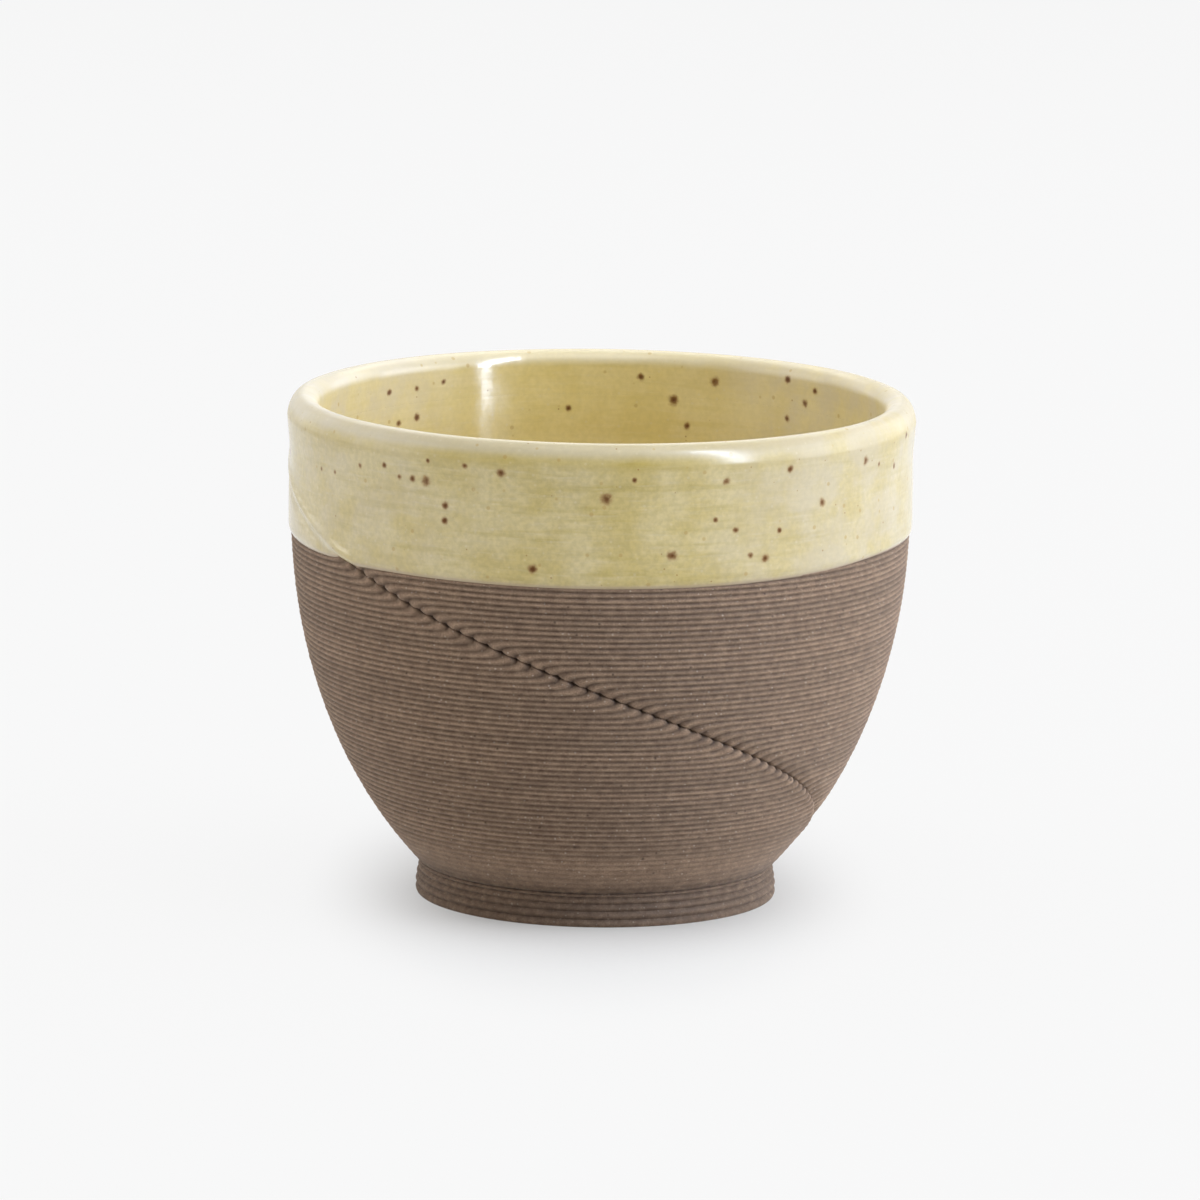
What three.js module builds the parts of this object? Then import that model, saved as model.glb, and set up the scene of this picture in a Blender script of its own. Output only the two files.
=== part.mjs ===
// A small stoneware cappuccino cup without a handle. Its body is laid up from fine courses of
// extruded clay: a foot ring and a floor, then a bowl wall on top of both. Each course of the wall
// turns inwards where it starts and ends, and because that place moves on with every course, a
// crease winds down round the bowl. The cup is lined with poured glaze and dipped rim down.
// Millimetres, +Z up, origin at the middle of the underside, front towards -Y.

import * as THREE from 'three';

// Printed courses of the base
const footCourses = 5;
const footCourseHeight = 0.9;
const footGroove = 0.18; // how deep the line between two courses of the foot is
const footRadius = 24.1;
const footRingWidth = 3;

// Bowl wall, measured on the bare clay
const cupHeight = 67.5; // with the glaze on the lip
const neckRadius = 23.85;
const bellyRadius = 41.4;
const bellyHeight = 52; // here the bowl's oval has become upright
const ovalReach = 60; // the oval would close this far below the belly
const wallThickness = 3;
const lipFlare = 0.25;
const lipFlareHeight = 7; // the flare ends where the lip starts to curve in
const lipOuterCurve = 3; // the lip curves in slowly outside
const lipInnerCurve = 1.6; // and more tightly inside

// Crease
const creaseDepth = 1.3;
const creaseShoulder = 1.5; // length in which a course turns in
const creaseRidge = 0.6; // what the crease raises on the inside
const creaseFade = 7; // height in which the crease runs out at the neck and at the lip
const creaseAtNeck = 101.1; // degrees from the front, towards +X
const creaseTurn = -3.167; // degrees per millimetre of height
const creaseBend = -0.0074; // what the turn changes by on its way up, per millimetre

// Glaze
const glazeThickness = 0.3;
const glazeFill = 0.5; // share of the crease that the glaze fills
const dipDepth = 18.75; // from the lip to the glaze line outside
const innerDip = 6; // from the lip to the lining, because trapped air keeps the dip out

// Clearance between pieces whose curved faces meet
const seatGap = 0.1;

// Facets
const slopeStep = 0.1; // height in which the slope of the wall is measured
const footSegments = 64;
const pointsPerCourse = 3;
const creaseZone = 14; // degrees on each side of the crease with narrow columns
const creaseColumns = 6;
const plainColumns = 32;
const bowlRows = 16;
const bandRows = 5;
const lipRows = 6;
const dipRows = 2;
const liningRows = 15;

const baseHeight = footCourses * footCourseHeight;
const coat = seatGap + glazeThickness;
const lipCrest = cupHeight - coat;
const lipHeight = lipCrest - lipOuterCurve; // here the lip starts to curve in
const mouthHeight = lipCrest - lipInnerCurve; // and here it has become the inside
const glazeLine = cupHeight - dipDepth;
const liningTop = cupHeight - innerDip;

const clay = { color: 0x75655a, roughness: 0.92, metalness: 0 };
const glaze = { color: 0xc6b57d, roughness: 0.14, metalness: 0 };

function smooth(from, to, x) {
  return THREE.MathUtils.smoothstep(x, from, to);
}

// The bowl is part of an oval through the neck that is upright at the belly. Above it the lip flares a little.
function outerRadius(z) {
  const drawnIn = (level) => 1 - Math.sqrt(1 - (Math.max(bellyHeight - level, 0) / ovalReach) ** 2);
  const narrowing = ((bellyRadius - neckRadius) * drawnIn(z)) / drawnIn(baseHeight);
  return bellyRadius - narrowing + lipFlare * smooth(lipHeight - lipFlareHeight, lipHeight, z);
}

function slopeOf(radiusAt, z) {
  const low = Math.max(z - slopeStep, baseHeight);
  return (radiusAt(low + 2 * slopeStep) - radiusAt(low)) / (2 * slopeStep);
}

function innerRadius(z) {
  return outerRadius(z) - wallThickness * Math.hypot(1, slopeOf(outerRadius, z));
}

function creaseAngle(z) {
  const height = z - baseHeight;
  return creaseAtNeck + (creaseTurn + creaseBend * height) * height;
}

function creaseStrength(z) {
  return smooth(baseHeight, baseHeight + creaseFade, z) * (1 - smooth(lipHeight - creaseFade, lipHeight, z));
}

// A row is one level of the wall's surface: its radius and height, the way out of the clay there, and
// how far the crease draws it towards the axis.
function outerRow(z) {
  const slope = slopeOf(outerRadius, z);
  const length = Math.hypot(1, slope);
  const out = { r: 1 / length, z: -slope / length };
  return { r: outerRadius(z), z, out, crease: creaseDepth * creaseStrength(z) };
}

function innerRow(z) {
  const slope = slopeOf(innerRadius, z);
  const length = Math.hypot(1, slope);
  const out = { r: -1 / length, z: slope / length };
  return { r: innerRadius(z), z, out, crease: creaseRidge * creaseStrength(z) };
}

// Where the inside meets the floor, a coat thickens in both directions at once.
function cornerRow() {
  const row = innerRow(baseHeight);
  row.out = { r: (1 - row.out.z) / row.out.r, z: 1 };
  return row;
}

function lipRow(angle) {
  const half = (outerRadius(lipHeight) - innerRadius(mouthHeight)) / 2;
  const curve = angle < Math.PI / 2 ? lipOuterCurve : lipInnerCurve;
  const across = Math.cos(angle);
  const up = Math.sin(angle);
  const length = Math.hypot(across / half, up / curve);
  const out = { r: across / half / length, z: up / curve / length };
  return { r: outerRadius(lipHeight) + half * (across - 1), z: lipCrest + curve * (up - 1), out, crease: 0 };
}

// Evenly spaced rows after the first level, up to and including the last.
function rowsBetween(from, to, count, rowAt) {
  return Array.from({ length: count }, (_, i) => rowAt(from + ((to - from) * (i + 1)) / count));
}

const bareRows = [outerRow(baseHeight), ...rowsBetween(baseHeight, glazeLine, bowlRows, outerRow)];
const dippedRows = [
  outerRow(glazeLine),
  ...rowsBetween(glazeLine, lipHeight, bandRows, outerRow),
  ...rowsBetween(0, Math.PI, lipRows, lipRow),
  ...rowsBetween(mouthHeight, liningTop, dipRows, innerRow),
];
const linedRows = [
  innerRow(liningTop),
  ...rowsBetween(liningTop, baseHeight, liningRows, innerRow).slice(0, -1),
  cornerRow(),
];

// Columns follow the crease round the cup, so that it always lies on one of them.
const columns = [
  ...Array.from({ length: 2 * creaseColumns }, (_, i) => {
    const share = i / creaseColumns - 1;
    return creaseZone * share * Math.abs(share);
  }),
  ...Array.from({ length: plainColumns }, (_, i) => {
    return creaseZone + ((360 - 2 * creaseZone) * i) / plainColumns;
  }),
];

function pointAt(radius, z, degreesFromFront) {
  const angle = THREE.MathUtils.degToRad(degreesFromFront - 90);
  return new THREE.Vector3(radius * Math.cos(angle), radius * Math.sin(angle), z);
}

// One ring of points round the cup, lifted off the clay by a height, with a share of the crease filled.
function ringOf(row, lift = 0, filled = 0) {
  const turn = creaseAngle(row.z);
  const points = columns.map((column) => {
    const away = row.r * THREE.MathUtils.degToRad(Math.min(Math.abs(column), 360 - column));
    const drawnIn = row.crease * (1 - filled) * Math.exp(-away / creaseShoulder);
    return pointAt(row.r + lift * row.out.r - drawnIn, row.z + lift * row.out.z, turn + column);
  });
  return { points, turn };
}

function poleOf(z, turn) {
  return { points: [new THREE.Vector3(0, 0, z)], turn };
}

// Joins rings into one closed skin. Seen with the cup's axis on the left, the rings run along the section
// with the solid on their left, and each face is split along its shorter diagonal.
function skinOf(rings, closed) {
  const starts = [];
  const points = [];
  for (const ring of rings) {
    starts.push(points.length);
    points.push(...ring.points);
  }
  const index = [];
  const bands = closed ? rings.length : rings.length - 1;
  for (let i = 0; i < bands; i += 1) {
    const next = (i + 1) % rings.length;
    const leansBack = rings[next].turn < rings[i].turn;
    for (let j = 0; j < columns.length; j += 1) {
      const k = (j + 1) % columns.length;
      const a = starts[i] + j;
      const b = starts[i] + k;
      const c = starts[next] + k;
      const d = starts[next] + j;
      if (rings[i].points.length === 1) {
        index.push(starts[i], c, d);
      } else if (rings[next].points.length === 1) {
        index.push(a, b, starts[next]);
      } else if (leansBack) {
        index.push(a, b, c, a, c, d);
      } else {
        index.push(a, b, d, b, c, d);
      }
    }
  }
  const geometry = new THREE.BufferGeometry().setFromPoints(points);
  geometry.setIndex(index);
  geometry.computeVertexNormals();
  return geometry;
}

// The outline of the foot bulges once for every course.
function courseOutline() {
  const outline = [];
  for (let course = 0; course < footCourses; course += 1) {
    for (let i = 0; i < pointsPerCourse; i += 1) {
      const angle = (Math.PI * i) / pointsPerCourse;
      const level = course + (1 - Math.cos(angle)) / 2;
      const edge = THREE.MathUtils.lerp(footRadius, neckRadius, level / footCourses);
      outline.push(new THREE.Vector2(edge - footGroove * (1 - Math.sin(angle)), level * footCourseHeight));
    }
  }
  outline.push(new THREE.Vector2(neckRadius - footGroove, baseHeight));
  return outline;
}

function turned(outline) {
  return new THREE.LatheGeometry(outline, footSegments).rotateX(Math.PI / 2);
}

function footRing() {
  const bore = neckRadius - footRingWidth;
  const start = new THREE.Vector2(bore, 0);
  return turned([start, ...courseOutline(), new THREE.Vector2(bore, baseHeight), start]);
}

function floorDisc() {
  const radius = neckRadius - footRingWidth - seatGap;
  return turned([
    new THREE.Vector2(0, 0),
    new THREE.Vector2(radius, 0),
    new THREE.Vector2(radius, baseHeight),
    new THREE.Vector2(0, baseHeight),
  ]);
}

function bowlWall() {
  const rows = [...bareRows, ...dippedRows.slice(1), ...linedRows.slice(1)];
  return skinOf(rows.map((row) => ringOf(row)), true);
}

function rimGlaze() {
  const outside = dippedRows.map((row) => ringOf(row, coat, glazeFill));
  const against = dippedRows.map((row) => ringOf(row, seatGap)).reverse();
  return skinOf([...outside, ...against], true);
}

function liningGlaze() {
  const turn = creaseAngle(baseHeight);
  const rows = [innerRow(liningTop - seatGap), ...linedRows.slice(1)];
  const inside = rows.map((row) => ringOf(row, coat));
  const against = rows.map((row) => ringOf(row, seatGap)).reverse();
  const under = poleOf(baseHeight + seatGap, turn);
  const over = poleOf(baseHeight + coat, turn);
  return skinOf([under, ...against, ...inside, over], false);
}

function piece(name, geometry, finish) {
  const mesh = new THREE.Mesh(geometry, new THREE.MeshStandardMaterial(finish));
  mesh.name = name;
  return mesh;
}

const cup = new THREE.Group();
cup.name = 'cappuccino_cup';
cup.add(
  piece('foot_ring', footRing(), clay),
  piece('floor_disc', floorDisc(), clay),
  piece('bowl_wall', bowlWall(), clay),
  piece('rim_glaze', rimGlaze(), glaze),
  piece('lining_glaze', liningGlaze(), glaze),
);

export default cup;
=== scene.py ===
import math

import bpy
import numpy as np
from mathutils import Matrix, Vector


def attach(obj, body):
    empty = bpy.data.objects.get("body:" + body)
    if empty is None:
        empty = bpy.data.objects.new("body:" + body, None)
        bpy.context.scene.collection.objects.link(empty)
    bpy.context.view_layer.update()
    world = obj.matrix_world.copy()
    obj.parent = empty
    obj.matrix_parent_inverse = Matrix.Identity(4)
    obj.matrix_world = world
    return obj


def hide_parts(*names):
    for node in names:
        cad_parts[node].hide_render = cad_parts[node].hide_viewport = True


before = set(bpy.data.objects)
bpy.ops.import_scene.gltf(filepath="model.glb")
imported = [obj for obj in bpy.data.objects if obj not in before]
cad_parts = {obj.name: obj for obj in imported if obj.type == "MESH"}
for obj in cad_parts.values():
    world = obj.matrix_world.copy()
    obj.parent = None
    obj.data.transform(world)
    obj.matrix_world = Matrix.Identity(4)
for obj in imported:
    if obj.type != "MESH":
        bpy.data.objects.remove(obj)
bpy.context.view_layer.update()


# Foot ring
# The lowest courses of the cup, a ring of brown stoneware squeezed out of a nozzle round upon round.
# It stays bare, so that the cup doesn't stick to the shelf of the kiln, and it flares a little.
mm = 0.001
foot_course_heights = np.array([1.0, 1.1, 0.92, 0.88, 0.6]) * mm
foot_phases = np.array([0.0, 0.06, 0.15, 0.3, 0.5, 0.7, 0.85, 0.94])
foot_radius = 24.2 * mm
neck_radius = 23.85 * mm
foot_flare_heights = (1.5 * mm, 4.0 * mm)
foot_ring_width = 3.0 * mm
foot_groove = 0.4 * mm
foot_edge = 0.2 * mm
foot_edge_rows = 4
foot_wave_size = 0.03 * mm
# Painted shade on the foot, which stands back under the bowl: the share of shade colour it keeps even on the
# crowns
foot_painted_shade = 0.74
foot_columns = 300
base_height = foot_course_heights.sum()
bead_roundness = 0.5
wave_turns = (2, 3, 5, 8, 13)
clay_seed = 7

clay_dark = (0.242, 0.159, 0.1045, 1)
clay_mid = (0.334, 0.227, 0.151, 1)
# Colour of painted shade: the lines between courses, the pits at the crease, the neck and the foot are mixed
# towards it
clay_painted_shade = (0.092, 0.058, 0.038, 1)
clay_grog = (0.56, 0.46, 0.37, 1)
clay_iron = (0.05, 0.034, 0.024, 1)
noise_middle = (0.3, 0.7)
mottle_size = 1.4 * mm
course_tone_size = 1.6 * mm
course_tones = (0.9, 1.1)
along_courses = 0.02
sand_size = 0.16 * mm
sand_noise = (0.25, 0.75)
sand_tones = (0.72, 1.24)
# Grains: spacing, radius, and the share of places that hold one
iron_grains = (1.5 * mm, 0.22 * mm, 0.35)
iron_share = 0.7
grog_grains = (0.8 * mm, 0.16 * mm, 0.45)
grog_share = 0.7
grain_core = 0.55
line_break_size = 0.9 * mm
line_shares = (0.5, 0.9)
clay_rough_size = 0.5 * mm
clay_rough = (0.7, 0.86)
grit_size = 0.12 * mm
grit_height = 0.03 * mm


def put(tree, kind, inputs, **settings):
    """Adds a node. An input is a plain value, or the output of another node."""
    node = tree.nodes.new("ShaderNode" + kind)
    for name, value in settings.items():
        setattr(node, name, value)
    for key, value in inputs.items():
        if isinstance(value, bpy.types.NodeSocket):
            tree.links.new(value, node.inputs[key])
        else:
            node.inputs[key].default_value = value
    return node


def calc(tree, operation, first, second):
    return put(tree, "Math", {0: first, 1: second}, operation=operation).outputs[0]


def times(tree, first, second):
    return calc(tree, "MULTIPLY", first, second)


def stretch(tree, value, low, high, to_low=0.0, to_high=1.0):
    """Maps a value from one range to another, with a soft start and end."""
    inputs = {"Value": value, 1: low, 2: high, 3: to_low, 4: to_high}
    return put(tree, "MapRange", inputs, interpolation_type="SMOOTHSTEP").outputs[0]


def tint(tree, share, under, over, way="MIX"):
    mix = put(tree, "Mix", {0: share, 6: under, 7: over}, data_type="RGBA", blend_type=way)
    return mix.outputs[2]


def scaled(tree, coords, x, y, z):
    inputs = {0: coords, 1: (x, y, z)}
    return put(tree, "VectorMath", inputs, operation="MULTIPLY").outputs[0]


def length_of(tree, vector):
    return put(tree, "VectorMath", {0: vector}, operation="LENGTH").outputs["Value"]


def cloud(tree, coords, size, detail=2.0):
    """Soft noise with spots of about this size in metres."""
    inputs = {"Vector": coords, "Scale": 1.0 / size, "Detail": detail, "Roughness": 0.55}
    return put(tree, "TexNoise", inputs).outputs[0]


def grains(tree, coords, spacing, radius, kept):
    """Round grains of a radius in metres, one to a cell of the spacing, in this share of the cells."""
    cells = put(tree, "TexVoronoi", {"Vector": coords, "Scale": 1.0 / spacing})
    reach = radius / spacing
    spot = stretch(tree, cells.outputs["Distance"], grain_core * reach, reach, 1.0, 0.0)
    lot = put(tree, "SeparateColor", {0: cells.outputs["Color"]}).outputs[0]
    return times(tree, spot, calc(tree, "LESS_THAN", lot, kept))


def empty_material(name):
    """A new material, its empty node tree, and the coordinates on the cup in metres."""
    material = bpy.data.materials.new(name)
    material.use_nodes = True
    tree = material.node_tree
    tree.nodes.clear()
    return material, tree, put(tree, "TexCoord", {}).outputs["Object"]


def bare_stoneware():
    """Matt fired clay: mottled brown, with pale grog and dark iron grains, each course a little different,
    and painted shade in the lines between courses.
    """
    material, tree, coords = empty_material("bare_stoneware")
    mottle = stretch(tree, cloud(tree, coords, mottle_size, detail=5.0), *noise_middle)
    colour = tint(tree, mottle, clay_dark, clay_mid)
    along = scaled(tree, coords, along_courses, along_courses, 1.0)
    tone = cloud(tree, along, course_tone_size, detail=1.0)
    colour = tint(tree, 1.0, colour, stretch(tree, tone, *noise_middle, *course_tones), "MULTIPLY")
    sand = stretch(tree, cloud(tree, coords, sand_size), *sand_noise, *sand_tones)
    colour = tint(tree, 1.0, colour, sand, "MULTIPLY")
    iron = grains(tree, coords, *iron_grains)
    colour = tint(tree, times(tree, iron, iron_share), colour, clay_iron)
    grog = grains(tree, coords, *grog_grains)
    colour = tint(tree, times(tree, grog, grog_share), colour, clay_grog)
    # Painted shade: darkens the lines between courses, the pits at the crease, the neck and the foot
    between = put(tree, "Attribute", {}, attribute_name="painted_shade").outputs["Fac"]
    breaks = cloud(tree, coords, line_break_size, detail=3.0)
    line = times(tree, between, stretch(tree, breaks, *noise_middle, *line_shares))
    colour = tint(tree, line, colour, clay_painted_shade)
    rough = stretch(tree, cloud(tree, coords, clay_rough_size), *noise_middle, *clay_rough)
    grit = calc(tree, "ADD", cloud(tree, coords, grit_size, detail=3.0), grog)
    bump = put(tree, "Bump", {"Height": grit, "Strength": 0.5, "Distance": grit_height})
    shader = put(tree, "BsdfPrincipled", {
        "Base Color": colour,
        "Roughness": rough,
        "Normal": bump.outputs[0],
        "IOR": 1.5,
        "Specular IOR Level": 0.2,
        "Sheen Weight": 0.1,
        "Sheen Roughness": 0.5,
    })
    put(tree, "OutputMaterial", {"Surface": shader.outputs[0]})
    return material


def ring_points(radius, z, degrees):
    """Points round the cup, by degrees from its front towards +X."""
    angle = np.radians(degrees - 90.0)
    radius, z, angle = np.broadcast_arrays(radius, z, angle)
    return np.stack([radius * np.cos(angle), radius * np.sin(angle), z], axis=-1)


def add_piece(name, points, faces, material, marks=None):
    """Makes the mesh. Marks are a name and a value for each point, which the material reads."""
    mesh = bpy.data.meshes.new(name)
    mesh.from_pydata(points.tolist(), [], faces)
    mesh.shade_smooth()
    mesh.materials.append(material)
    if marks is not None:
        layer = mesh.attributes.new(marks[0], "FLOAT", "POINT")
        layer.data.foreach_set("value", np.ravel(marks[1]).astype(np.float32))
    piece = bpy.data.objects.new(name, mesh)
    bpy.context.scene.collection.objects.link(piece)
    return piece


def quads_between(first, second):
    """Faces between two closed rings of point numbers."""
    return np.stack([first, np.roll(first, -1), np.roll(second, -1), second], axis=1).tolist()


def turned_skin(name, rings, material, poles=None, marks=None):
    """A closed skin over rings that run along the section, the solid on their left.

    Without poles the last ring joins the first. With them the skin starts and ends on the axis.
    """
    rows, columns = rings.shape[:2]
    numbers = np.arange(rows * columns).reshape(rows, columns)
    points = rings.reshape(-1, 3)
    faces = []
    for below, above in zip(numbers[:-1], numbers[1:]):
        faces += quads_between(below, above)
    if poles is None:
        faces += quads_between(numbers[-1], numbers[0])
    else:
        start = len(points)
        points = np.vstack([points, [[0, 0, poles[0]], [0, 0, poles[1]]]])
        faces += [[start, b, a] for a, b in zip(numbers[0], np.roll(numbers[0], -1))]
        faces += [[a, b, start + 1] for a, b in zip(numbers[-1], np.roll(numbers[-1], -1))]
    return add_piece(name, points, faces, material, marks)


def smooth(low, high, value):
    share = np.clip((value - low) / (high - low), 0.0, 1.0)
    return share * share * (3.0 - 2.0 * share)


def bell(away, width):
    return np.exp(-((away / width) ** 2))


def shade(phase):
    """How much light the line between two courses keeps off: 0 on the crown, 1 in the line."""
    return (1.0 + np.cos(2.0 * math.pi * phase)) / 2.0


def hollow(phase):
    """How far a course has drawn back from its crown: 0 on the crown, 1 in the line between two."""
    bead = 1.0 - np.sqrt(1.0 - (2.0 * phase - 1.0) ** 2)
    return bead_roundness * bead + (1.0 - bead_roundness) * shade(phase)


def wander(chance, degrees, count):
    """Slow waves round the cup, different for each of a number of courses, from -1 to 1."""
    waves = np.zeros((count, len(degrees)))
    for turns in wave_turns:
        start = chance.uniform(0.0, 360.0, (count, 1))
        waves += np.cos(np.radians(turns * degrees + start)) / len(wave_turns)
    return waves


stoneware = bare_stoneware()
chance = np.random.default_rng(clay_seed)
foot_courses = len(foot_course_heights)
foot_degrees = np.arange(foot_columns) * 360.0 / foot_columns
foot_starts = np.cumsum(foot_course_heights) - foot_course_heights
foot_levels = (foot_starts[:, None] + foot_course_heights[:, None] * foot_phases).ravel()
foot_levels = np.append(foot_levels, base_height)
foot_hollow = np.append(np.tile(hollow(foot_phases), foot_courses), 1.0)
foot_shade = np.append(np.tile(shade(foot_phases), foot_courses), 1.0)
foot_shade[:foot_edge_rows] = 0.0
foot_shade = foot_painted_shade + (1.0 - foot_painted_shade) * foot_shade
foot_draw = foot_groove * foot_hollow
foot_draw[:foot_edge_rows] = foot_edge * foot_hollow[:foot_edge_rows]
foot_flare = (foot_radius - neck_radius) * (1.0 - smooth(*foot_flare_heights, foot_levels))
foot_wave = np.repeat(wander(chance, foot_degrees, foot_courses + 1), len(foot_phases), axis=0)
foot_wave = foot_wave_size * (foot_wave[:len(foot_levels)] - 1.0)
foot_bore = neck_radius - foot_ring_width
foot_outline = neck_radius + foot_flare - foot_draw
foot_outside = ring_points(foot_outline[:, None] + foot_wave, foot_levels[:, None], foot_degrees)
foot_inside = ring_points(foot_bore, np.array([[base_height], [0.0]]), foot_degrees)
# The foot's painted shade, for the material to read
foot_marks = ("painted_shade", np.repeat(np.append(foot_shade, [0.0, 0.0]), foot_columns))
foot_rings = np.vstack([foot_outside, foot_inside])
foot_ring = turned_skin("foot_ring_courses", foot_rings, stoneware, marks=foot_marks)
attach(foot_ring, "root")
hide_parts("foot_ring")


# Floor disc
# The floor inside the ring is the same clay, laid on the bed as one flat spiral of bead from the ring
# to the middle. The turns were pressed together, so only fine lines show between them underneath.
floor_bead = 2.6 * mm
floor_line = 0.18 * mm
floor_clearance = 0.1 * mm
floor_steps = 96
innermost = 0.02
floor_radius = foot_bore - floor_clearance
floor_share = np.linspace(innermost, 1.0, floor_steps)[:, None]
floor_turn = (floor_share * floor_radius / floor_bead + foot_degrees / 360.0) % 1.0
floor_under = ring_points(floor_share * floor_radius, floor_line * hollow(floor_turn) ** 2, foot_degrees)
floor_over = ring_points(floor_radius, np.array([[base_height]]), foot_degrees)
floor_rings = np.vstack([floor_under, floor_over])
floor_disc = turned_skin("floor_disc_spiral", floor_rings, stoneware, (0.0, base_height))
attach(floor_disc, "root")
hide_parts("floor_disc")


# Bowl wall
# The wall stands on ring and floor, one bead of stoneware laid on the other. Each bead starts and ends at
# a place that moves on with every course. There the ends turn inwards and hook past each other, up on the
# left and down on the right, and the row of them is the crease that winds down round the bowl.
cup_height = 67.5 * mm
belly_radius = 41.4 * mm
belly_height = 52.0 * mm
oval_reach = 60.0 * mm
wall_thickness = 3.0 * mm
slope_step = 0.05 * mm
glaze_thickness = 0.3 * mm
glaze_bond = 0.02 * mm
lip_flare = 0.25 * mm
lip_flare_height = 7.0 * mm
lip_outer_curve = 3.0 * mm
lip_inner_curve = 1.6 * mm
lip_crest = cup_height - glaze_thickness - glaze_bond
lip_height = lip_crest - lip_outer_curve
mouth_height = lip_crest - lip_inner_curve
clay_lip_degrees = np.array([30.0, 55.0, 75.0, 90.0])

course_height = 0.75 * mm
bare_courses = 62
course_phases = np.array([0.0, 0.22, 0.5, 0.78])
squeezed_phases = np.array([0.0, 0.13, 0.5, 0.87])
course_groove = 0.34 * mm
course_wave = 0.035 * mm
calm_height = 2.0 * mm
groove_at_neck = 0.3
groove_full_heights = (5.0 * mm, 14.0 * mm)
glazed_rows = 29
glazed_hollow = 0.3
# Height over which the painted shade at the neck fades out
neck_shade_height = 2.5 * mm
deepest_shade = 1.4

crease_at_neck = 101.1
crease_turn = -3.167 / mm
crease_bend = -0.0074 / mm**2
crease_fade = 9.0 * mm
crease_end = 1.0 * mm
crease_slit = 0.04
low_bowl_heights = (15.0 * mm, 33.0 * mm)
crease_draw_left = 0.35 * mm
crease_draw_right = 0.25 * mm
crease_draw_length = 1.6 * mm
crease_roll = 0.6 * mm
crease_lobe = 0.25 * mm
crease_lobe_place = 1.8 * mm
crease_lobe_width = 1.5 * mm
crease_tip_left = 0.34 * mm
crease_tip_right = 0.28 * mm
crease_tip_sizes = (0.8, 1.2)
crease_notch = 0.5 * mm
crease_squeeze = 1.5 * mm
crease_hook_up = 1.2 * mm
crease_hook_down = 1.05 * mm
crease_hook_left = 2.3 * mm
crease_hook_right = 2.5 * mm
crease_hook_sizes = (0.95, 1.05)
crease_parting = 0.6
crease_parting_left = 0.5
crease_parting_length = 0.45 * mm
crease_merging = 0.75
crease_merging_width = 1.1 * mm
crease_ridge = 0.6 * mm
crease_ridge_length = 1.5 * mm
lining_clearance = 0.15 * mm

crease_zone = 14.0
crease_columns = 24
plain_columns = 240
rows_per_inner = 4
columns_per_inner = 2


def bowl_radius(z):
    """Outside of the clay: part of an oval that is upright at the belly, then a slight flare to the lip."""
    def drawn_in(level):
        return 1.0 - np.sqrt(1.0 - (np.maximum(belly_height - level, 0.0) / oval_reach) ** 2)
    narrowing = (belly_radius - neck_radius) * drawn_in(z) / drawn_in(base_height)
    flare = lip_flare * smooth(lip_height - lip_flare_height, lip_height, z)
    return belly_radius - narrowing + flare


def lining_radius(z):
    """Inside of the clay, one wall thickness in from the outside."""
    rise = bowl_radius(z + slope_step) - bowl_radius(np.maximum(z - slope_step, base_height))
    return bowl_radius(z) - wall_thickness * np.hypot(1.0, rise / (2.0 * slope_step))


lip_half = (belly_radius + lip_flare - lining_radius(mouth_height)) / 2.0


def lip_section(angle):
    """Radius, height and way out of the clay on the lip, from outside at 0 to inside at half a turn."""
    curve = np.where(angle < math.pi / 2.0, lip_outer_curve, lip_inner_curve)
    radius = belly_radius + lip_flare + lip_half * (np.cos(angle) - 1.0)
    z = lip_crest + curve * (np.sin(angle) - 1.0)
    out_r, out_z = np.cos(angle) / lip_half, np.sin(angle) / curve
    length = np.hypot(out_r, out_z)
    return radius, z, out_r / length, out_z / length


def crease_degrees(z):
    height = z - base_height
    return crease_at_neck + (crease_turn + crease_bend * height) * height


def crease_strength(z):
    """The crease runs out towards the neck and towards the lip."""
    low = smooth(base_height, base_height + crease_fade, z)
    return low * (1.0 - smooth(lip_height - crease_fade, lip_height - crease_end, z))


def hook(left, right):
    """How far a course climbs on its way to the crease, by its distance left and right of it."""
    climb = crease_hook_up * np.exp(-left / crease_hook_left)
    return climb - crease_hook_down * np.exp(-right / crease_hook_right)


def lowness(z):
    return 1.0 - smooth(*low_bowl_heights, z)


def fold(left, right, z):
    """How far the clay draws in beside the crease. Low down the right side rolls in and the left swells."""
    right_draw = (crease_draw_right + crease_roll * lowness(z)) * np.exp(-right / crease_draw_length)
    left_draw = crease_draw_left * np.exp(-left / crease_draw_length)
    swell = crease_lobe * lowness(z) * bell(left - crease_lobe_place, crease_lobe_width)
    return left_draw + right_draw - swell


def bead_end(tip, away):
    """How far the rounded end of a bead falls away, by its radius and the distance from the crease."""
    return tip - np.sqrt(tip**2 - np.maximum(tip - away, 0.0) ** 2)


near_crease = crease_zone * (np.arange(crease_columns) / crease_columns) ** 2
turns = np.concatenate([
    near_crease,
    np.linspace(crease_zone, 360.0 - crease_zone, plain_columns + 1),
    360.0 - near_crease[:0:-1],
])
wall_turns = np.append(turns, 360.0)
wall_turns[0] = crease_slit
wall_turns[-1] = 360.0 - crease_slit

course_levels = base_height + course_height * (np.arange(bare_courses)[:, None] + course_phases).ravel()
glazed_levels = np.linspace(base_height + bare_courses * course_height, lip_height, glazed_rows)
lip_radii, lip_levels, _, _ = lip_section(np.radians(clay_lip_degrees))
wall_levels = np.concatenate([course_levels, glazed_levels, lip_levels])[:, None]
hidden_rows = len(glazed_levels) + len(lip_levels)


def by_phase(values, hidden):
    """One value for every row of the wall, from one for each phase and one for what glaze hides."""
    return np.append(np.tile(values, bare_courses), np.full(hidden_rows, hidden))[:, None]


def by_course(values):
    """One value for every row of the wall, from one for each course and one for what glaze hides."""
    rows = np.repeat(values[:bare_courses], len(course_phases), axis=0)
    return np.concatenate([rows, np.repeat(values[bare_courses:], hidden_rows, axis=0)])


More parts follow.
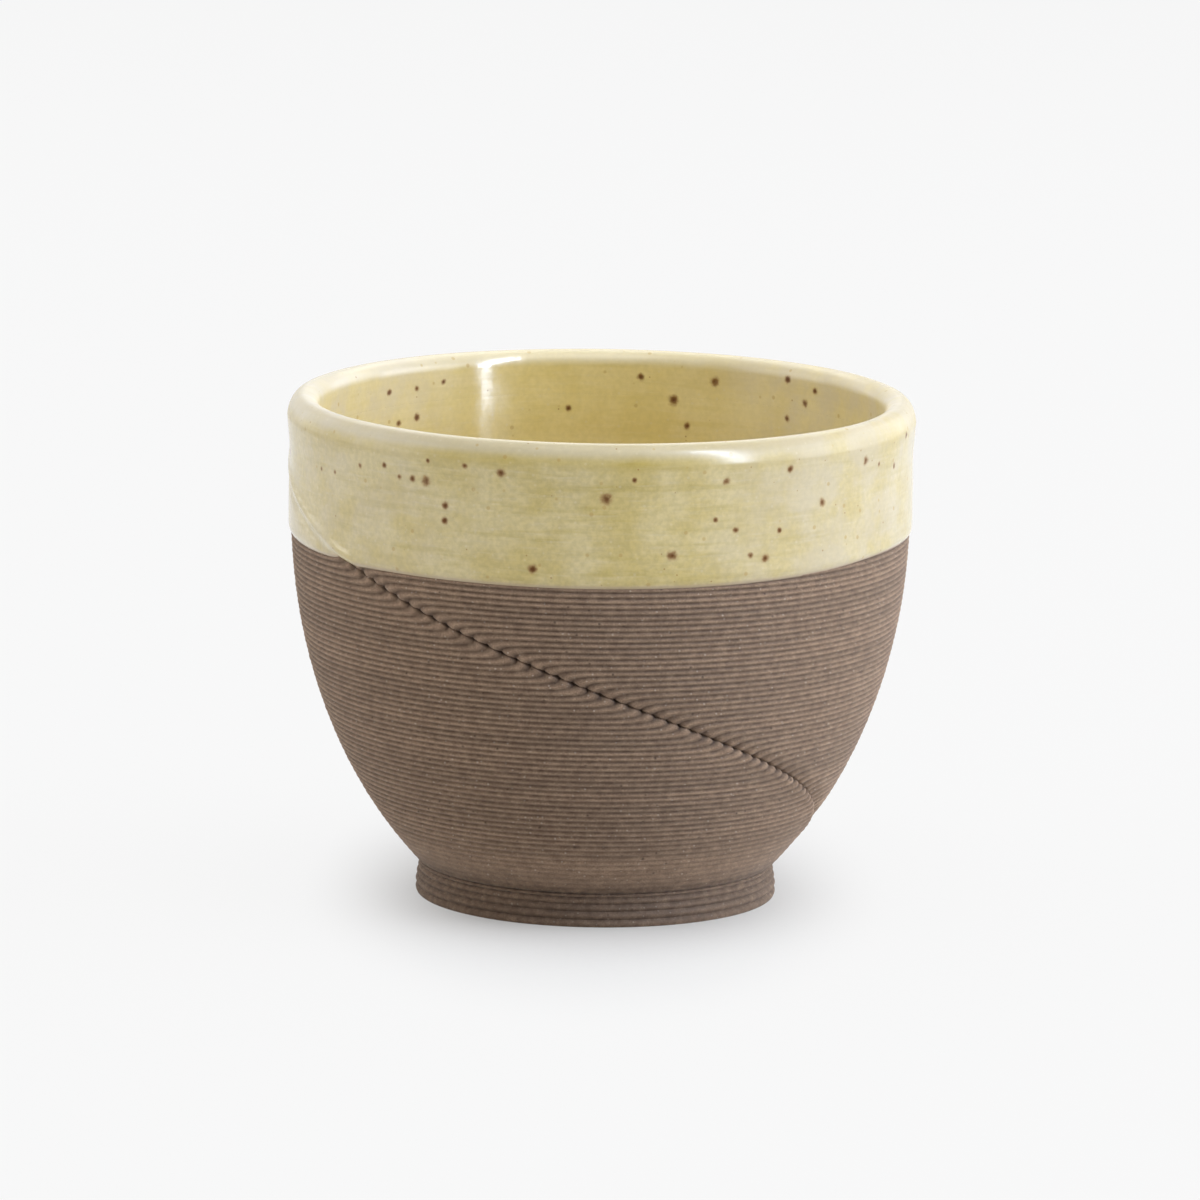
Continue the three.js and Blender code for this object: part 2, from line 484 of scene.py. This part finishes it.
wall_hollow = by_phase(hollow(course_phases), glazed_hollow)
wall_shade = by_phase(shade(course_phases), 0.0)
squeeze = by_phase(squeezed_phases - course_phases, 0.0)
wall_reach = bowl_radius(wall_levels)
left_of_crease = wall_reach * np.radians(360.0 - wall_turns)
right_of_crease = wall_reach * np.radians(wall_turns)
strength = crease_strength(wall_levels)

hooked = by_course(chance.uniform(*crease_hook_sizes, (bare_courses + 1, 1)))
wall_z = wall_levels + strength * hooked * hook(left_of_crease, right_of_crease)
near_end = np.exp(-left_of_crease / crease_squeeze) + np.exp(-right_of_crease / crease_squeeze)
wall_z = wall_z + strength * course_height * squeeze * near_end
wave_z = by_course(wander(chance, wall_turns, bare_courses + 1))
still = smooth(base_height, base_height + calm_height, wall_levels) * (wall_levels < lip_height)
wall_z = wall_z + course_wave * wave_z * still

tip = by_course(chance.uniform(*crease_tip_sizes, (bare_courses + 1, 1)))
notch = crease_notch * wall_shade
ends = bead_end(crease_tip_left * tip, np.maximum(left_of_crease - notch, 0.0))
ends = ends + bead_end(crease_tip_right * tip, np.maximum(right_of_crease - notch, 0.0))
draw = strength * (fold(left_of_crease, right_of_crease, wall_levels) + ends)
depth = groove_at_neck + (1.0 - groove_at_neck) * smooth(*groove_full_heights, wall_levels)
parted = 1.0 + crease_parting * strength * near_end
parted = parted + crease_parting_left * strength * np.exp(-left_of_crease / crease_parting_length)
merged = crease_merging * strength * lowness(wall_levels) * bell(right_of_crease, crease_merging_width)
groove = course_groove * depth * parted * (1.0 - merged)
wall_r = bowl_radius(wall_z)
wall_r[-len(lip_radii):] = lip_radii[:, None]
wave_r = by_course(wander(chance, wall_turns, bare_courses + 1))
wall_r = wall_r - groove * wall_hollow - draw + course_wave * (wave_r - 1.0) * still
wall_outside = ring_points(wall_r, wall_z, crease_degrees(wall_z) + wall_turns)

inner_levels = np.minimum(wall_levels[::rows_per_inner], mouth_height)
inner_rows = len(inner_levels)
inner_turns = wall_turns[::columns_per_inner]
inner_away = lining_radius(inner_levels) * np.radians(np.minimum(inner_turns, 360.0 - inner_turns))
inner_ridge = crease_ridge * crease_strength(inner_levels) * np.exp(-inner_away / crease_ridge_length)
wall_inside = ring_points(
    lining_radius(inner_levels) - inner_ridge + lining_clearance,
    inner_levels,
    crease_degrees(inner_levels) + inner_turns,
)


def sheet_faces(numbers):
    return np.stack(
        [numbers[:-1, :-1], numbers[:-1, 1:], numbers[1:, 1:], numbers[1:, :-1]], axis=-1
    ).reshape(-1, 4).tolist()


def seam_faces(fine, coarse, step):
    """Triangles that join an edge of many points to one of few."""
    faces = []
    for k, corner in enumerate(coarse[:-1]):
        for i in range(k * step, (k + 1) * step):
            faces.append([fine[i + 1], fine[i], corner])
        faces.append([fine[(k + 1) * step], corner, coarse[k + 1]])
    return faces


outer = np.arange(wall_r.size).reshape(wall_r.shape)
inner = wall_r.size + np.arange(inner_rows * len(inner_turns)).reshape(inner_rows, -1)
wall_faces = sheet_faces(outer) + sheet_faces(inner[:, ::-1])
wall_faces += seam_faces(outer[0], inner[0], columns_per_inner)
wall_faces += seam_faces(outer[-1, ::-1], inner[-1, ::-1], columns_per_inner)
wall_faces += seam_faces(outer[::-1, 0], inner[::-1, 0], rows_per_inner)
wall_faces += seam_faces(outer[:, -1], inner[:, -1], rows_per_inner)
wall_points = np.vstack([wall_outside.reshape(-1, 3), wall_inside.reshape(-1, 3)])
# Painted shade at the neck, where the bowl hangs over the foot
neck_painted_shade = foot_painted_shade * (1.0 - smooth(base_height, base_height + neck_shade_height, wall_levels))
# Painted shade in the lines between courses, darker where the grooves are deeper and in the pits at the
# crease, with the neck's added
wall_painted_shade = np.clip(wall_shade * groove / course_groove + neck_painted_shade, 0.0, deepest_shade)
wall_marks = ("painted_shade", np.append(wall_painted_shade, np.zeros(inner.size)))
bowl_wall = add_piece("bowl_wall_courses", wall_points, wall_faces, stoneware, wall_marks)
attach(bowl_wall, "root")
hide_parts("bowl_wall")


# Rim glaze
# The cup was dipped rim down into a glossy straw-coloured glaze, which ran to a soft edge round the belly.
# It is thin enough for the courses to show faintly, fills the crease in part, and carries iron specks.
glaze_line = 48.75 * mm
glaze_edge = 1.5 * mm
glaze_edge_depth = 0.2 * mm
glaze_edge_start = 0.3 * mm
glaze_gather = 0.6 * mm
glaze_gather_height = 14.0 * mm
glaze_ripple = 0.006 * mm
glaze_ripple_inside = 0.004 * mm
# Where the dip stands higher: its height, its place and its width in degrees
dip_rises = ((1.2 * mm, 75.0, 35.0), (0.2 * mm, -85.0, 35.0))
dip_wave = 0.07 * mm
dip_evening = 3
dip_hook = 0.5
dip_hook_height = 1.6 * mm
dip_tip_width = 0.7 * mm
off_the_crease = 1.0
waist = 0.17 * mm
waist_height = 60.8 * mm
waist_length = 2.6 * mm
seam_height = 61.5 * mm
seam_edge = 0.006 * mm
lip_sag = 0.04 * mm
crease_swell = 0.22 * mm
crease_swell_length = 3.2 * mm
ridge_round = 0.6 * mm
thin_covers = (0.3, 0.8)
band_row = course_height / 4.0
ripple_row = course_height / 3.0
lip_rows = 24
# The face against the clay has fewer rows: one in so many of those in front
dip_back_rows = 4
lip_back_rows = 3
band_back_rows = 6
band_back_start = 8

straw_pale = (0.62, 0.52, 0.26, 1)
straw = (0.56, 0.45, 0.17, 1)
straw_olive = (0.46, 0.36, 0.10, 1)
# Colour of the inside: yellower thick glaze, made brighter as painted light
straw_inside_and_light = (0.89, 0.745, 0.315, 1)
straw_white = (0.70, 0.63, 0.45, 1)
# Colour of the painted sheen on the cup's left and right sides
painted_sheen_cream = (0.56, 0.497, 0.395, 1)
# Colour of the pale lip, partly thin glaze and partly a painted highlight
pale_lip_and_highlight = (0.56, 0.53, 0.48, 1)
ochre = (0.45, 0.29, 0.085, 1)
thin_glaze = (0.42, 0.31, 0.225, 1)
iron_rust = (0.31, 0.145, 0.035, 1)
iron_brown = (0.105, 0.033, 0.005, 1)
outside_radii = (39.6 * mm, 40.4 * mm)
straw_cloud_size = 7.0 * mm
straw_cloud_noise = (0.38, 0.62)
along_band = 0.1
pool_size = 1.3 * mm
pool_noise = (0.48, 0.7)
pool_shares = (0.0, 0.5)
streak_size = 0.5 * mm
streak_noise = (0.5, 0.75)
streak_shares = (0.0, 0.2)
curdle_size = 0.7 * mm
curdle_tones = (0.9, 1.06)
ragged_size = 3.0 * mm
olive_lip_heights = (65.0 * mm, 66.4 * mm)
olive_lip_share = 0.4
# How far the inside goes to its colour: partly thicker glaze, partly painted light that brightens the inside
inside_light_share = 0.45
# Painted sheen: the glaze is mixed towards a pale cream on the cup's left and right, as seen from the front,
# in place of the white room mirrored there, and more on the inside left
sheen_right = (6.0 * mm, 30.0 * mm)
sheen_right_shares = (0.0, 0.45)
sheen_left = (-36.0 * mm, -8.0 * mm)
sheen_left_shares = (0.32, 0.0)
sheen_more_inside = 0.6
sheen_patch_size = 6.0 * mm
sheen_patch_noise = (0.36, 0.64)
sheen_patch_tones = (0.6, 1.4)
# Pale lip: partly thin glaze at the edge, partly a painted highlight along the crest, less on the right where
# the lamp's own highlight falls
white_lip_heights = (65.2 * mm, 66.5 * mm)
white_lip_shares = (0.0, 0.44)
lit_lip_less_right = 1.5
# Dots in the glaze: spacing, radius, the share of places that hold one, strength and colour
glaze_dots = (
    (1.1 * mm, 0.24 * mm, 0.4, 0.2, straw_white),
    (2.1 * mm, 0.36 * mm, 0.45, 0.5, ochre),
    (1.6 * mm, 0.16 * mm, 0.3, 0.6, iron_rust),
)
# Iron specks: degrees from the front, height and radius in millimetres, first outside, then inside
outer_specks = [
    (1, 60.5, 0.8), (-18, 63.5, 0.65), (-33, 61.5, 0.75), (-36, 61.5, 0.5), (-39, 61.5, 0.4),
    (-29, 58.5, 0.5), (-29, 56.5, 0.5), (-12, 51, 0.65), (13, 53, 0.7), (31, 52, 0.6), (28, 52.5, 0.4),
    (23, 62.5, 0.55), (36, 63.5, 0.5), (44, 58.5, 0.6), (6, 63, 0.4), (21, 57.5, 0.4), (25, 56, 0.45),
    (34, 55.5, 0.4), (56, 63, 0.6), (61, 62, 0.4), (68, 61, 0.45), (-25, 64, 0.4), (-42.5, 62.7, 0.4),
    (-49, 62, 0.4), (-57, 60.4, 0.35), (-62, 60.2, 0.35), (-32.5, 64.2, 0.35), (74, 64.5, 0.5),
    (95, 57, 0.7), (120, 62, 0.6), (138, 54, 0.75), (163, 60, 0.6), (-176, 56, 0.7), (-150, 62, 0.55),
    (-131, 58, 0.7), (-108, 52.5, 0.6), (-84, 60, 0.7),
]
inner_specks = [
    (172, 64, 0.55), (156, 64, 0.7), (165, 61, 0.75), (138, 65.5, 0.6), (130, 64.5, 0.5), (133, 62.5, 0.55),
    (138, 60, 0.5), (162, 57.5, 0.5), (-173, 59.5, 0.45), (-130, 63.5, 0.5), (-138, 63.5, 0.4),
    (-138, 59.5, 0.6), (-133, 59, 0.5), (-145, 64, 0.4), (20, 55, 0.6), (-30, 40, 0.7), (75, 45, 0.6),
    (-95, 34, 0.7), (140, 30, 0.6), (10, 22, 0.7), (-160, 42, 0.6),
]
# Distances from a speck's middle, in its own radius, and what is left of the iron there
speck_none = 9.0
speck_uneven_size = 0.9 * mm
speck_uneven_noise = (0.2, 0.8)
speck_uneven = (-0.25, 0.25)
speck_halo = (0.4, 1.4)
speck_halo_shares = (0.75, 0.0)
speck_body = (0.1, 1.05)
speck_body_shares = (0.95, 0.0)
thin_glaze_share = 0.7
glaze_rough_size = 3.0 * mm
glaze_rough = (0.1, 0.17)
speck_rough = 0.08
inside_rough = 0.085
dull_lip_heights = (63.5 * mm, 65.0 * mm)
dull_lip_rough = 0.26
dull_lip_share = 0.75
glaze_mirror = 0.5
dull_mirror_loss = 0.4
glaze_bump_size = 1.6 * mm
glaze_bump_height = 0.02 * mm


def gathered(z):
    """How much thicker the glaze is inside, where it ran towards the lip while the cup hung rim down."""
    return glaze_gather * smooth(mouth_height - glaze_gather_height, mouth_height, z)


def straw_clouds(tree, coords):
    """Pale and olive clouds, and faint streaks along the courses."""
    clouds = stretch(tree, cloud(tree, coords, straw_cloud_size, detail=5.0), *straw_cloud_noise)
    colour = tint(tree, clouds, straw, straw_pale)
    along = scaled(tree, coords, along_band, along_band, 1.0)
    pools = stretch(tree, cloud(tree, along, pool_size, detail=4.0), *pool_noise, *pool_shares)
    colour = tint(tree, pools, colour, straw_olive)
    streaks = stretch(tree, cloud(tree, along, streak_size, detail=3.0), *streak_noise, *streak_shares)
    colour = tint(tree, streaks, colour, straw_white)
    curdle = stretch(tree, cloud(tree, coords, curdle_size, detail=4.0), *noise_middle, *curdle_tones)
    return tint(tree, 1.0, colour, curdle, "MULTIPLY")


def with_thickness_and_light(tree, coords, colour, outside, inside):
    """Thicker glaze is yellower inside, where a brighter colour also stands in for more light. Painted sheen
    pales the cup's left and right sides, and the lip is pale, partly thin glaze and partly a painted
    highlight.
    """
    place = put(tree, "SeparateXYZ", {0: coords}).outputs
    ragged = times(tree, cloud(tree, coords, ragged_size, detail=4.0), ragged_size)
    rising = stretch(tree, calc(tree, "ADD", place["Z"], ragged), *olive_lip_heights)
    olive = times(tree, rising, times(tree, outside, olive_lip_share))
    colour = tint(tree, olive, colour, straw_olive)
    # Inside: yellower thick glaze, and painted light that brightens it
    colour = tint(tree, times(tree, inside, inside_light_share), colour, straw_inside_and_light)
    # Painted sheen: paler in patches on the left and right sides of the cup
    right = stretch(tree, place["X"], *sheen_right, *sheen_right_shares)
    left = stretch(tree, place["X"], *sheen_left, *sheen_left_shares)
    left = times(tree, left, calc(tree, "ADD", 1.0, times(tree, inside, sheen_more_inside)))
    sheen_patches = stretch(tree, cloud(tree, coords, sheen_patch_size, detail=5.0), *sheen_patch_noise, *sheen_patch_tones)
    side_sheen = times(tree, calc(tree, "ADD", right, left), sheen_patches)
    colour = tint(tree, side_sheen, colour, painted_sheen_cream)
    # Pale lip, partly thin glaze and partly a painted highlight, less on the right
    lip_pale_and_lit = stretch(tree, place["Z"], *white_lip_heights, *white_lip_shares)
    off_right = calc(tree, "SUBTRACT", 1.0, times(tree, right, lit_lip_less_right))
    return tint(tree, times(tree, lip_pale_and_lit, off_right), colour, pale_lip_and_highlight)


def from_nearest_speck(tree, coords):
    """Distance from the nearest iron speck, counted in that speck's radius, with an uneven edge."""
    nearest = speck_none
    for specks, on_outside in ((outer_specks, True), (inner_specks, False)):
        for degrees, height, size in specks:
            level = height * mm
            reach = bowl_radius(level) + glaze_thickness
            if not on_outside:
                reach = lining_radius(level) - glaze_thickness - gathered(level)
            inputs = {0: coords, 1: tuple(ring_points(reach, level, degrees))}
            away = put(tree, "VectorMath", inputs, operation="DISTANCE").outputs["Value"]
            nearest = calc(tree, "MINIMUM", calc(tree, "DIVIDE", away, size * mm), nearest)
    uneven = stretch(tree, cloud(tree, coords, speck_uneven_size), *speck_uneven_noise, *speck_uneven)
    return calc(tree, "ADD", nearest, uneven)


def speckled_glaze():
    """Glossy straw glaze with ochre dots and iron specks. At its thin edge the clay shows through."""
    material, tree, coords = empty_material("speckled_glaze")
    radius = length_of(tree, scaled(tree, coords, 1.0, 1.0, 0.0))
    outside = stretch(tree, radius, *outside_radii)
    inside = calc(tree, "SUBTRACT", 1.0, outside)
    colour = with_thickness_and_light(tree, coords, straw_clouds(tree, coords), outside, inside)
    for spacing, dot_radius, kept, share, dot_colour in glaze_dots:
        dots = grains(tree, coords, spacing, dot_radius, kept)
        colour = tint(tree, times(tree, dots, share), colour, dot_colour)
    nearest = from_nearest_speck(tree, coords)
    halo = stretch(tree, nearest, *speck_halo, *speck_halo_shares)
    colour = tint(tree, halo, colour, iron_rust)
    specks = stretch(tree, nearest, *speck_body, *speck_body_shares)
    colour = tint(tree, specks, colour, iron_brown)
    thin = put(tree, "Attribute", {}, attribute_name="thin_coat").outputs["Fac"]
    colour = tint(tree, times(tree, thin, thin_glaze_share), colour, thin_glaze)

    height = put(tree, "SeparateXYZ", {0: coords}).outputs["Z"]
    lip = times(tree, stretch(tree, height, *dull_lip_heights), outside)
    rough = stretch(tree, cloud(tree, coords, glaze_rough_size), *noise_middle, *glaze_rough)
    rough = calc(tree, "ADD", rough, times(tree, specks, speck_rough))
    rough = calc(tree, "ADD", rough, times(tree, inside, inside_rough))
    rough = calc(tree, "MAXIMUM", rough, times(tree, lip, dull_lip_rough))
    dull = calc(tree, "MAXIMUM", specks, times(tree, lip, dull_lip_share))
    mirror = calc(tree, "SUBTRACT", glaze_mirror, times(tree, dull, dull_mirror_loss))
    dips = cloud(tree, coords, glaze_bump_size)
    bump = put(tree, "Bump", {"Height": dips, "Distance": glaze_bump_height})
    round_the_cup = put(tree, "Tangent", {}, direction_type="RADIAL", axis="Z")
    shader = put(tree, "BsdfPrincipled", {
        "Base Color": colour,
        "Roughness": rough,
        "Normal": bump.outputs[0],
        "IOR": 1.55,
        "Specular IOR Level": mirror,
        "Anisotropic": inside,
        "Anisotropic Rotation": 0.25,
        "Tangent": round_the_cup.outputs[0],
        "Sheen Weight": 0.08,
        "Sheen Roughness": 0.5,
    })
    put(tree, "OutputMaterial", {"Surface": shader.outputs[0]})
    return material


glaze = speckled_glaze()
glaze_coat = glaze_bond + glaze_thickness
band_low = glaze_line - glaze_edge_start
band_top = lip_height - band_low
band_steps = np.linspace(0.0, band_top, int(round(band_top / band_row)))
lip_angles = np.radians(np.linspace(0.0, 180.0, lip_rows + 1)[1:])
ripple_levels = np.arange(base_height, mouth_height, ripple_row)
above_seam = ripple_levels[ripple_levels > seam_height + 2.0 * seam_edge][::-1]
dip_levels = np.concatenate([above_seam, [seam_height + seam_edge, seam_height]])


def distance_from_crease(radius):
    return radius * np.radians(np.minimum(turns, 360.0 - turns))


def course_ripple(level):
    return np.cos(2.0 * math.pi * (level - base_height) / course_height)


def dip_rise(degrees):
    """How far the edge of the dip stands above the glaze line round the cup."""
    rise = dip_wave * edge_wave
    for height, place, width in dip_rises:
        around = (degrees - place + 180.0) % 360.0 - 180.0
        rise = rise + height * bell(around, width)
    return rise


def band_ring(step, cover):
    """One ring of the glaze outside, by its height above the edge and how much of the coat is there."""
    level = band_low + step
    flat = bowl_radius(level)
    left, right = flat * np.radians(360.0 - turns), flat * np.radians(turns)
    near_edge = (1.0 - step / band_top) ** dip_evening
    climb = dip_hook * hook(left, np.where(turns == 0.0, off_the_crease, right))
    climb = crease_strength(level) * climb * np.exp(-step / dip_hook_height)
    z = level + near_edge * dip_rise(crease_degrees(level) + turns) + climb
    tips = crease_tip_left * bell(distance_from_crease(flat), dip_tip_width)
    beside = np.where(turns > 180.0, -left, right) / crease_swell_length
    swell = crease_swell * math.sqrt(2.0) * beside * np.exp(0.5 - beside**2)
    draw = (fold(left, right, level) + tips) * (1.0 - cover) - swell * cover
    pinch = waist * bell(z - waist_height, waist_length)
    radius = bowl_radius(z) - pinch - crease_strength(level) * draw
    coat = (glaze_thickness + glaze_edge_depth) * cover - glaze_edge_depth
    ripple = glaze_ripple * course_ripple(level) * cover
    return ring_points(radius + coat + ripple, z, crease_degrees(z) + turns)


def lip_ring(angle, coat):
    radius, z, out_r, out_z = lip_section(angle)
    level = z + coat * out_z
    sag = lip_sag * (edge_wave - 1.0) * np.sin(angle)
    gather = glaze_gather * (1.0 - np.cos(angle)) / 2.0 * (coat > glaze_bond)
    return ring_points(radius + coat * out_r - gather, level + sag, crease_degrees(z) + turns)


def inner_ring(level, coat, ripple):
    radius = lining_radius(level)
    away = np.hypot(distance_from_crease(radius), ridge_round) - ridge_round
    ridge = crease_ridge * crease_strength(level) * np.exp(-away / crease_ridge_length)
    wave = ripple * course_ripple(level)
    gather = gathered(level) * (coat > glaze_bond)
    return ring_points(radius - ridge - coat - gather + wave, level, crease_degrees(level) + turns)


edge_wave = wander(chance, turns, 1)[0]
covers = 1.0 - (1.0 - np.minimum(band_steps / glaze_edge, 1.0)) ** 2
band_front = [band_ring(step, cover) for step, cover in zip(band_steps, covers)]
lip_front = [lip_ring(angle, glaze_coat) for angle in lip_angles]
dip_front = [inner_ring(level, glaze_coat, glaze_ripple_inside) for level in dip_levels]
dip_back = [inner_ring(level, glaze_bond, 0.0) for level in dip_levels[::-dip_back_rows]]
lip_back = [lip_ring(angle, glaze_bond) for angle in lip_angles[::-lip_back_rows]]
band_back = [band_ring(step, 0.0) for step in band_steps[:band_back_start:-band_back_rows]]
rim_rings = np.array(band_front + lip_front + dip_front + dip_back + lip_back + band_back)
rim_thin = np.zeros(rim_rings.shape[:2])
rim_thin[:len(band_steps)] = 1.0 - smooth(*thin_covers, covers)[:, None]
rim_glaze = turned_skin("rim_glaze_coat", rim_rings, glaze, marks=("thin_coat", rim_thin))
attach(rim_glaze, "root")
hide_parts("rim_glaze")


# Lining glaze
# The same glaze was poured into the cup and out again before the rim was dipped. It covers the inside
# down to the floor, and it gathered a little in the round where wall and floor meet.
corner_round = 0.9 * mm
corner_step = 1.0 * mm
floor_rows = 34
lining_back_rows = 8
lining_top = seam_height - seam_edge
below_seam = ripple_levels[ripple_levels < lining_top - 2.0 * seam_edge][::-1]
lining_levels = np.concatenate([[lining_top, lining_top - seam_edge], below_seam])


def rounded_floor(over, coat):
    """Height of the glaze in the round of the corner, by how far the plain coat lies over the floor's."""
    return base_height + coat + corner_round * np.log1p(np.exp(over / corner_round))


def lining_ring(level, coat, ripple):
    """A ring on the wall's lining. Towards the floor the coat runs out in a round."""
    points = inner_ring(level, coat, ripple)
    points[:, 2] = rounded_floor(points[:, 2] - base_height - coat, coat)
    return points


def floor_rings_of(edge, coat):
    """Rings from the foot of the lining to the middle of the floor."""
    slope = (lining_radius(base_height + corner_step) - lining_radius(base_height)) / corner_step
    rings = []
    for share in np.linspace(1.0, innermost, floor_rows)[1:]:
        ring = edge * share
        inward = np.hypot(edge[:, 0], edge[:, 1]) * (1.0 - share)
        ring[:, 2] = rounded_floor(-(inward / slope + coat), coat)
        rings.append(ring)
    return rings


lining_front = [lining_ring(level, glaze_coat, glaze_ripple_inside) for level in lining_levels]
lining_front += floor_rings_of(lining_front[-1], glaze_coat)
lining_back = [inner_ring(level, glaze_bond, 0.0) for level in lining_levels[::-lining_back_rows]]
lining_rings = np.array(lining_back + lining_front)
lining_poles = (base_height + glaze_bond, base_height + glaze_coat)
lining_glaze = turned_skin("lining_glaze_coat", lining_rings, glaze, lining_poles)
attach(lining_glaze, "root")
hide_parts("lining_glaze")


# Table
# A wide sheet of pale matt paper under and behind the cup. It takes the cup's soft shadow close by,
# and further off it is plain white.
table_size = 8.0
table_white = (0.68, 0.68, 0.68, 1)
table_glow = (0.94, 0.94, 0.94, 1)
table_share_near = 0.2
table_share_far = 0.93
shadow_edge = (0.03, 0.09)
shadow_narrowing = 2.2
fibre_size = 1.0 * mm
fibre_tones = (0.985, 1.0)


def pale_paper():
    material, tree, coords = empty_material("pale_paper")
    fibre = stretch(tree, cloud(tree, coords, fibre_size, detail=3.0), *noise_middle, *fibre_tones)
    colour = tint(tree, 1.0, table_white, fibre, "MULTIPLY")
    matt = put(tree, "BsdfDiffuse", {"Color": colour})
    bright = put(tree, "Emission", {"Color": table_glow, "Strength": 1.0})
    rays = put(tree, "LightPath", {})
    seen = calc(tree, "MAXIMUM", rays.outputs["Is Camera Ray"], rays.outputs["Is Glossy Ray"])
    seen = calc(tree, "MAXIMUM", seen, rays.outputs["Is Transmission Ray"])
    away = length_of(tree, scaled(tree, coords, shadow_narrowing, 1.0, 1.0))
    share = stretch(tree, away, *shadow_edge, table_share_near, table_share_far)
    mixed = put(tree, "MixShader", {0: times(tree, seen, share), 1: matt.outputs[0], 2: bright.outputs[0]})
    put(tree, "OutputMaterial", {"Surface": mixed.outputs[0]})
    return material


half = table_size / 2.0
table_points = np.array([[-half, -half, 0.0], [half, -half, 0.0], [half, half, 0.0], [-half, half, 0.0]])
table = add_piece("table", table_points, [[0, 1, 2, 3]], pale_paper())


# Light
# Weak daylight and soft lamps all round, the strongest a large one on the right. A tall narrow lamp at the
# front right draws the streak on the inside. The glaze also mirrors a white room that is darker in front.
day_rise = (0.0, 0.7)
day_strengths = (0.0, 0.62)
room_depth = (-0.9, 0.3)
room_strengths = (0.3, 1.0)
sky_white = 0.9
sky_colour = (1, 1, 1, 1)
lamp_aim = (0.0, 0.0, 0.04)
plain_white = (1.0, 1.0, 1.0)
window_white = (0.94, 1.0, 1.08)
streak_white = (0.85, 0.97, 1.2)


def soft_lamp(name, place, size, power, colour=plain_white, mirrored_only=False):
    data = bpy.data.lights.new(name, "AREA")
    data.shape = "RECTANGLE"
    data.size, data.size_y = size
    data.energy = power
    data.color = colour
    lamp = bpy.data.objects.new(name, data)
    lamp.location = place
    lamp.visible_diffuse = not mirrored_only
    aim = Vector(place) - Vector(lamp_aim)
    lamp.rotation_euler = aim.to_track_quat("Z", "Y").to_euler()
    bpy.context.scene.collection.objects.link(lamp)


world = bpy.data.worlds.new("daylight")
bpy.context.scene.world = world
world.use_nodes = True
sky = world.node_tree
sky.nodes.clear()
heading = put(sky, "TexCoord", {}).outputs["Generated"]
ways = put(sky, "SeparateXYZ", {0: heading}).outputs
rays = put(sky, "LightPath", {}).outputs
daylight = stretch(sky, ways["Z"], *day_rise, *day_strengths)
room = times(sky, rays["Is Glossy Ray"], stretch(sky, ways["Y"], *room_depth, *room_strengths))
room = calc(sky, "MAXIMUM", room, times(sky, rays["Is Camera Ray"], sky_white))
room = calc(sky, "MAXIMUM", room, rays["Is Transmission Ray"])
daylight = calc(sky, "MAXIMUM", daylight, room)
background = put(sky, "Background", {"Color": sky_colour, "Strength": daylight})
put(sky, "OutputWorld", {"Surface": background.outputs[0]})
soft_lamp("top_lamp", place=(0.1, -0.3, 1.1), size=(0.8, 0.8), power=5.7)
soft_lamp("back_lamp", place=(0.0, 0.8, 0.8), size=(0.9, 0.6), power=2.5)
soft_lamp("right_lamp", place=(1.1, -0.1, 0.35), size=(0.9, 0.8), power=12.0, colour=window_white)
soft_lamp("right_back_lamp", place=(0.84, 0.7, 0.35), size=(0.7, 0.7), power=2.6, colour=window_white)
soft_lamp("left_lamp", place=(-1.1, -0.1, 0.4), size=(0.9, 0.8), power=4.2)
soft_lamp("left_back_lamp", place=(-0.84, 0.7, 0.35), size=(0.7, 0.7), power=1.2)
soft_lamp(
    "streak_lamp",
    place=(0.75, -0.62, 0.6),
    size=(0.05, 1.1),
    power=30.0,
    colour=streak_white,
    mirrored_only=True,
)


# Camera
# Straight in front of the cup and a little above it, with a long lens. It is turned by less than a degree,
# because the cup's rim isn't quite level.
camera_place = (0.0001, -1.2874, 0.2743)
camera_tilt = 10.33
camera_roll = 0.8
camera_lens = 293.2
camera_sensor = 36.0
camera_data = bpy.data.cameras.new("camera")
camera_data.sensor_width = camera_sensor
camera_data.lens = camera_lens
camera = bpy.data.objects.new("camera", camera_data)
pitch = Matrix.Rotation(math.radians(90.0 - camera_tilt), 4, "X")
roll = Matrix.Rotation(math.radians(camera_roll), 4, "Z")
camera.matrix_world = Matrix.Translation(camera_place) @ pitch @ roll
bpy.context.scene.collection.objects.link(camera)
bpy.context.scene.camera = camera
bpy.context.scene.view_settings.view_transform = "Standard"
